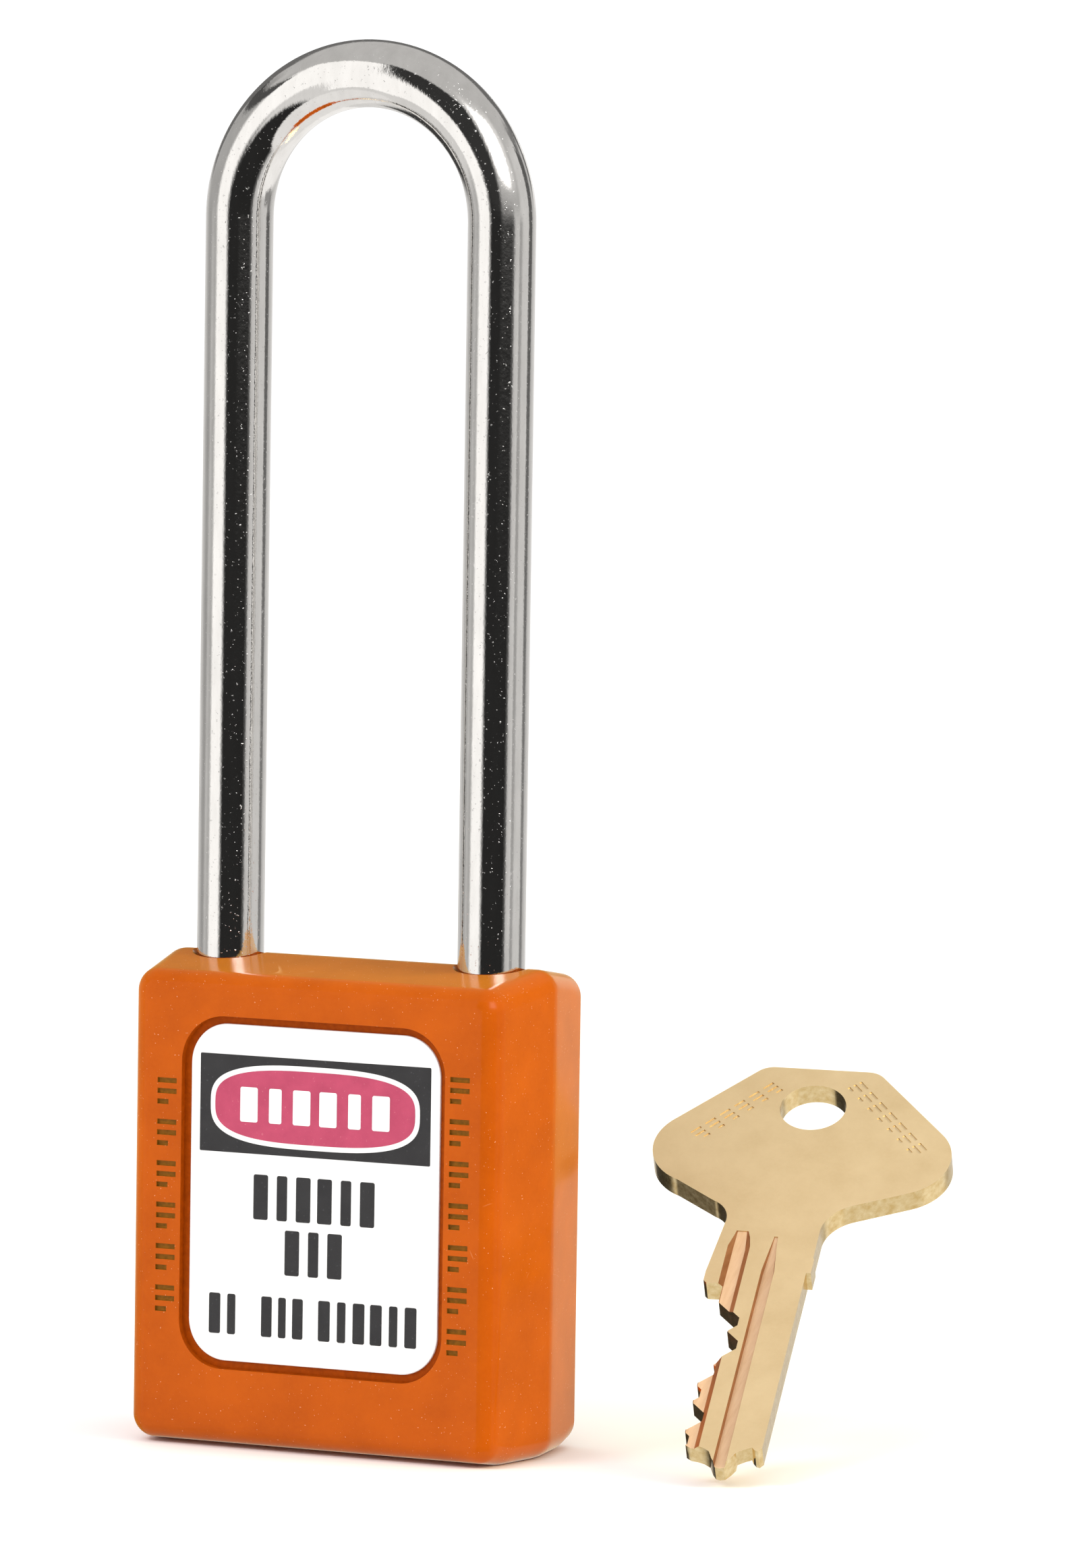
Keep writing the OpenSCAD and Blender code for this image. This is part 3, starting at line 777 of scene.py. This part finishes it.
def shoulder_marks():
    """Plain engraved strokes along the bow's two sloping edges."""
    out = []
    nx, ny = math.cos(math.radians(BOW_SHOULDER)), math.sin(math.radians(BOW_SHOULDER))
    for side, count in zip((-1, 1), KEY_MARK_COUNTS):
        for i in range(count):
            s = (i - (count - 1) / 2) * KEY_MARK_PITCH
            mid = Vector((side * (BOW_CORNER[0] + BOW_ROUND[0]) / 2, (BOW_CORNER[1] + BOW_ROUND[1]) / 2, 0))
            normal = Vector((side * nx, ny, 0))
            along = Vector((side * ny, -nx, 0))
            inward = (BOW_CORNER_R + BOW_ROUND_R) / 2 - 3.0 + (0.0 if side < 0 else 0.2)
            base = mid + normal * inward + along * s
            for k, w in enumerate(KEY_MARK_WIDTHS):
                c = base + normal * (0.62 - k * 0.62) - along * (KEY_MARK_WIDTHS[0] - w) / 2
                thin = normal * KEY_MARK_T / 2
                corners = [c + along * w / 2 + thin, c - along * w / 2 + thin, c - along * w / 2 - thin,
                           c + along * w / 2 - thin]
                outline = [(p.x, p.y) for p in corners]
                out.append(extrude_xy("stroke", outline, KEY_T - KEY_MARK_D, KEY_T + 0.5))
    return out


def build_key():
    key = extrude_xy("key_bow_and_blade", bow_outline(), 0, KEY_T)
    cut(key, extrude_xy("blade", blade_outline(), 0, KEY_T), operation="UNION")
    for outline in key_cuts():
        cut(key, extrude_xy("tooth", outline, -1, KEY_T + 1))
    rebate = [(-4.75, KEY_T + 0.3), (-4.05, KEY_T - 0.45), (-2.95, KEY_T - 0.45), (-2.15, KEY_T + 0.3)]
    groove = [(-0.98, KEY_T + 0.3), (-0.84, KEY_T - 0.55), (0.08, KEY_T - 0.55), (0.32, KEY_T + 0.3)]
    under = [(0.9, 0.5), (0.75, -0.3), (2.25, -0.3), (2.1, 0.5)]
    cut(key, channel("rebate", rebate, -1, REBATE_END, 2.0, 0.75),
        channel("groove", groove, -1, GROOVE_END, 4.5, 0.3), channel("under", under, -1, UNDER_END))
    cut(key, cylinder("ring_hole", (0, KEY_HOLE_Y, -1), (0, 0, 1), KEY_HOLE_R, KEY_HOLE_R, KEY_T + 2, 72))
    cut(key, join("strokes", shoulder_marks()))

    def weight(mid):
        engraved = mid.y > 40 and key_inside(mid) and math.hypot(mid.x, mid.y - KEY_HOLE_Y) > KEY_HOLE_R + 0.3
        if KEY_T - KEY_MARK_D - 0.05 < mid.z < KEY_T - 0.02:
            return 0.0
        return 0.2 if mid.z > KEY_T - 0.02 and engraved else 1.0

    soften(key, weight, KEY_BEVEL, segments=2, sharp=25)
    for p in key.data.polygons:
        c = p.center / MM
        milled = 1.2 < c.z < KEY_T - 0.05 and p.normal.z > 0.1 and c.y < 31.2
        if milled:
            # Slot 2, on the sloped groove walls, is brass painted dark as shade.
            p.material_index = 2 if abs(p.normal.x) > 0.5 else 1
        elif abs(p.normal.z) < 0.3:
            p.material_index = 3
    key.data.transform(key_place())
    key.data.update()
    paint(key, BRASS, GROOVE_FLOOR, GROOVE_WALL_SHADE, EDGE_BRASS)
    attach(key, "key")
    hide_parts("key")
    return key


def key_inside(mid):
    """True a little way in from the bow's outer edge."""
    nx, ny = math.cos(math.radians(BOW_SHOULDER)), math.sin(math.radians(BOW_SHOULDER))
    reach = BOW_CORNER[0] * nx + BOW_CORNER[1] * ny + BOW_CORNER_R
    return abs(mid.x) * nx + mid.y * ny < reach - 0.6 and abs(mid.x) < 12.6 and mid.y < 52.6


build_body()
build_shackle()
build_label("front_label_print", "front_label", -1)
build_label("back_label_print", "back_label", 1)
build_key()

# ---------- Finish of the CAD nodes that stay ----------

for name, obj in frame["nodes"].items():
    if obj.hide_render:
        continue
    if name == "bottom_plate":
        paint(obj, PLASTIC)
    elif name in ("plug", "cylinder_housing", "chamber_cover", "cam") or name.startswith("key_pin"):
        paint(obj, MACHINED)
    else:
        paint(obj, STEEL)

# ---------- Floor, light and camera ----------

FLOOR_HALF, FLOOR_Z = 3000, -0.02


def pale_floor():
    f = Finish("pale_floor", Roughness=0.9, Specular_IOR_Level=0.1)
    f.link(f.ramp(f.noise(30, 3), (0.3, (0.95, 0.95, 0.95)), (0.7, (0.97, 0.97, 0.97))), "Base Color")
    return f.mat


CORNERS = ((-1, -1), (1, -1), (1, 1), (-1, 1))
floor = piece("floor", [(x * FLOOR_HALF, y * FLOOR_HALF, FLOOR_Z) for x, y in CORNERS], [[0, 1, 2, 3]])
paint(floor, pale_floor())
floor.visible_glossy = False

CAM_TURN, CAM_RISE, CAM_ROLL = math.radians(26.3), math.radians(4.8), math.radians(0.86)
CAM_DISTANCE = 0.990
CAM_LENS = 256.8
LIGHT = 1.08
AIM_Z = 0.062
AIM_RIGHT, AIM_DOWN = 0.01505, 0.0029


def towards(turn, rise):
    """The way out to a place round from the front and above the horizon."""
    return Vector((math.sin(turn) * math.cos(rise), -math.cos(turn) * math.cos(rise), math.sin(rise)))


def build_camera():
    back = towards(CAM_TURN, CAM_RISE)
    right = Vector((math.cos(CAM_TURN), math.sin(CAM_TURN), 0))
    up = back.cross(right)
    place = Vector((0, 0, AIM_Z)) + back * CAM_DISTANCE
    aim = Vector((0, 0, AIM_Z)) + right * AIM_RIGHT - up * AIM_DOWN
    data = bpy.data.cameras.new("camera")
    data.lens, data.sensor_width = CAM_LENS, 36
    data.clip_start, data.clip_end = 0.01, 20
    cam = bpy.data.objects.new("camera", data)
    bpy.context.scene.collection.objects.link(cam)
    cam.rotation_mode = "QUATERNION"
    cam.location = place
    roll = Matrix.Rotation(CAM_ROLL, 4, "Z").to_quaternion()
    cam.rotation_quaternion = (aim - place).to_track_quat("-Z", "Y") @ roll
    bpy.context.scene.camera = cam


def area_light(name, turn, rise, distance, size, power, colour=(1, 1, 1), aim=(0, 0, 0.06)):
    """A square lamp that no surface mirrors; turn and rise are in degrees."""
    data = bpy.data.lights.new(name, "AREA")
    data.shape, data.size, data.energy, data.color = "SQUARE", size, power, colour
    obj = bpy.data.objects.new(name, data)
    bpy.context.scene.collection.objects.link(obj)
    back = towards(math.radians(turn), math.radians(rise))
    obj.location = Vector(aim) + back * distance
    obj.rotation_mode = "QUATERNION"
    obj.rotation_quaternion = (-back).to_track_quat("-Z", "Y")
    obj.visible_glossy = False


def build_world():
    """White studio: plain white light for the surfaces, and for reflections a ring of pale and dark panels.
    Angles are in degrees round from the camera's side, positive to its right, and above the horizon."""
    world = bpy.data.worlds.new("studio")
    bpy.context.scene.world = world
    world.use_nodes = True
    tree = world.node_tree
    tree.nodes.clear()

    def node(kind, *inputs, **values):
        n = tree.nodes.new(kind)
        for key, value in values.items():
            setattr(n, key, value)
        for key, value in inputs:
            if isinstance(value, bpy.types.NodeSocket):
                tree.links.new(value, n.inputs[key])
            else:
                n.inputs[key].default_value = value
        return n

    def maths(operation, a, b=0.0):
        return node("ShaderNodeMath", (0, a), (1, b), operation=operation).outputs[0]

    def mixed(fac, a, b):
        n = node("ShaderNodeMix", data_type="RGBA")
        colours = [s for s in n.inputs if s.type == "RGBA"]
        for socket, value in ((n.inputs["Factor"], fac), (colours[0], a), (colours[1], b)):
            if isinstance(value, bpy.types.NodeSocket):
                tree.links.new(value, socket)
            else:
                socket.default_value = value
        return [s for s in n.outputs if s.type == "RGBA"][0]

    def pale(value):
        return (value, value * 0.985, value * 0.965, 1)

    direction = node("ShaderNodeTexCoord").outputs["Generated"]
    turned = node("ShaderNodeVectorRotate", ("Vector", direction), ("Angle", -CAM_TURN),
                  rotation_type="Z_AXIS")
    axes = node("ShaderNodeSeparateXYZ", ("Vector", turned.outputs[0]))
    round_angle = maths("ARCTAN2", axes.outputs["X"], maths("MULTIPLY", axes.outputs["Y"], -1.0))
    round_angle = maths("MULTIPLY", round_angle, 180 / math.pi)
    rise = maths("MULTIPLY", maths("ARCSINE", axes.outputs["Z"]), 180 / math.pi)

    share = node("ShaderNodeMapRange", ("Value", round_angle), ("From Min", -180.0),
                 ("From Max", 180.0)).outputs[0]
    ring = node("ShaderNodeValToRGB", ("Fac", share))
    panels = [(-180, 0.80), (-150, 0.66), (-130, 0.44), (-122, 0.36), (-112, 0.38), (-104, 0.56),
              (-88, 0.46), (-78, 1.10), (-47, 1.12), (-39, 0.20), (-35, 0.022), (34, 0.020), (41, 0.12),
              (47, 0.58), (60, 0.66), (64, 0.38), (71, 0.40), (77, 0.64), (104, 0.66), (111, 0.22),
              (119, 0.26), (128, 0.54), (150, 0.70), (180, 0.80)]
    e = ring.color_ramp.elements
    while len(e) < len(panels):
        e.new(0.5)
    for item, (degrees, value) in zip(e, panels):
        item.position = degrees / 360 + 0.5
        item.color = pale(value)
    seen = ring.outputs["Color"]

    def inside(value, low, high, soft):
        """1 between low and high, fading to 0 over soft degrees outside."""
        rising = node("ShaderNodeMapRange", ("Value", value), ("From Min", low - soft), ("From Max", low),
                      interpolation_type="SMOOTHSTEP").outputs[0]
        falling = node("ShaderNodeMapRange", ("Value", value), ("From Min", high), ("From Max", high + soft),
                       ("To Min", 1.0), ("To Max", 0.0), interpolation_type="SMOOTHSTEP").outputs[0]
        return maths("MULTIPLY", rising, falling)

    # (from angle, to angle, from rise, to rise, softness, brightness)
    cards = [
        (-200, -38, -53, -16, 7, 0.74),   # pale table to the left
        (60, 200, -53, -20, 7, 0.98),     # pale table to the right
        (-158, -116, -36, -14, 8, 0.05),  # dark box behind the table, seen in the key's left walls
        (-200, 200, -100, -51, 4, 0.86),  # table under the object
        (92, 112, -17, -11, 4, 0.30),     # dark gap under the right wall
        (44, 104, 4, 60, 6, 0.66),        # right wall
        (106, 122, -2, 26, 4, 0.12),      # its dark edge
        (-128, -90, 2, 24, 6, 0.42),      # left wall
        (-200, 200, 38, 100, 7, 0.54),    # ceiling
        (-160, -76, 23, 28, 3, 0.08),     # shelf edge on the left
        (120, 172, 23, 28, 4, 0.22),      # shelf edge on the right
        (-79, -50, -40, 36, 3, 1.12),     # tall white card
        (-47, -8, 3, 40, 4, 0.035),       # dark room beyond the card
        (140, 200, 8, 34, 7, 0.16),       # dark wall behind, to the right
        (-200, -140, 8, 34, 7, 0.16),     # and to the left
        (6, 60, 10, 30, 14, 0.46),        # grey panel under the lamp
        (8, 50, 26, 44, 18, 0.85),        # the lamp's glow
        (17, 31, 30, 35, 18, 8.5),        # lamp above the camera
        (150, 166, 3, 11, 4, 1.0),        # small lamp behind
    ]
    for a0, a1, r0, r1, soft, value in cards:
        mask = maths("MULTIPLY", inside(round_angle, a0, a1, soft), inside(rise, r0, r1, soft))
        seen = mixed(mask, seen, pale(value))

    rays = node("ShaderNodeLightPath")
    light = mixed(rays.outputs["Is Glossy Ray"], (LIGHT, LIGHT, LIGHT, 1), seen)
    light = mixed(rays.outputs["Is Camera Ray"], light, (1.2, 1.2, 1.2, 1))
    shade = node("ShaderNodeBackground", ("Color", light), ("Strength", 1.0))
    node("ShaderNodeOutputWorld", ("Surface", shade.outputs[0]))


build_camera()
build_world()
area_light("key_light", -25, 42, 0.9, 0.3, 2.5)
area_light("fill_light", 96, 26, 1.1, 0.5, 6.5, (1.0, 0.90, 0.50))
bpy.context.scene.view_settings.view_transform = "Standard"
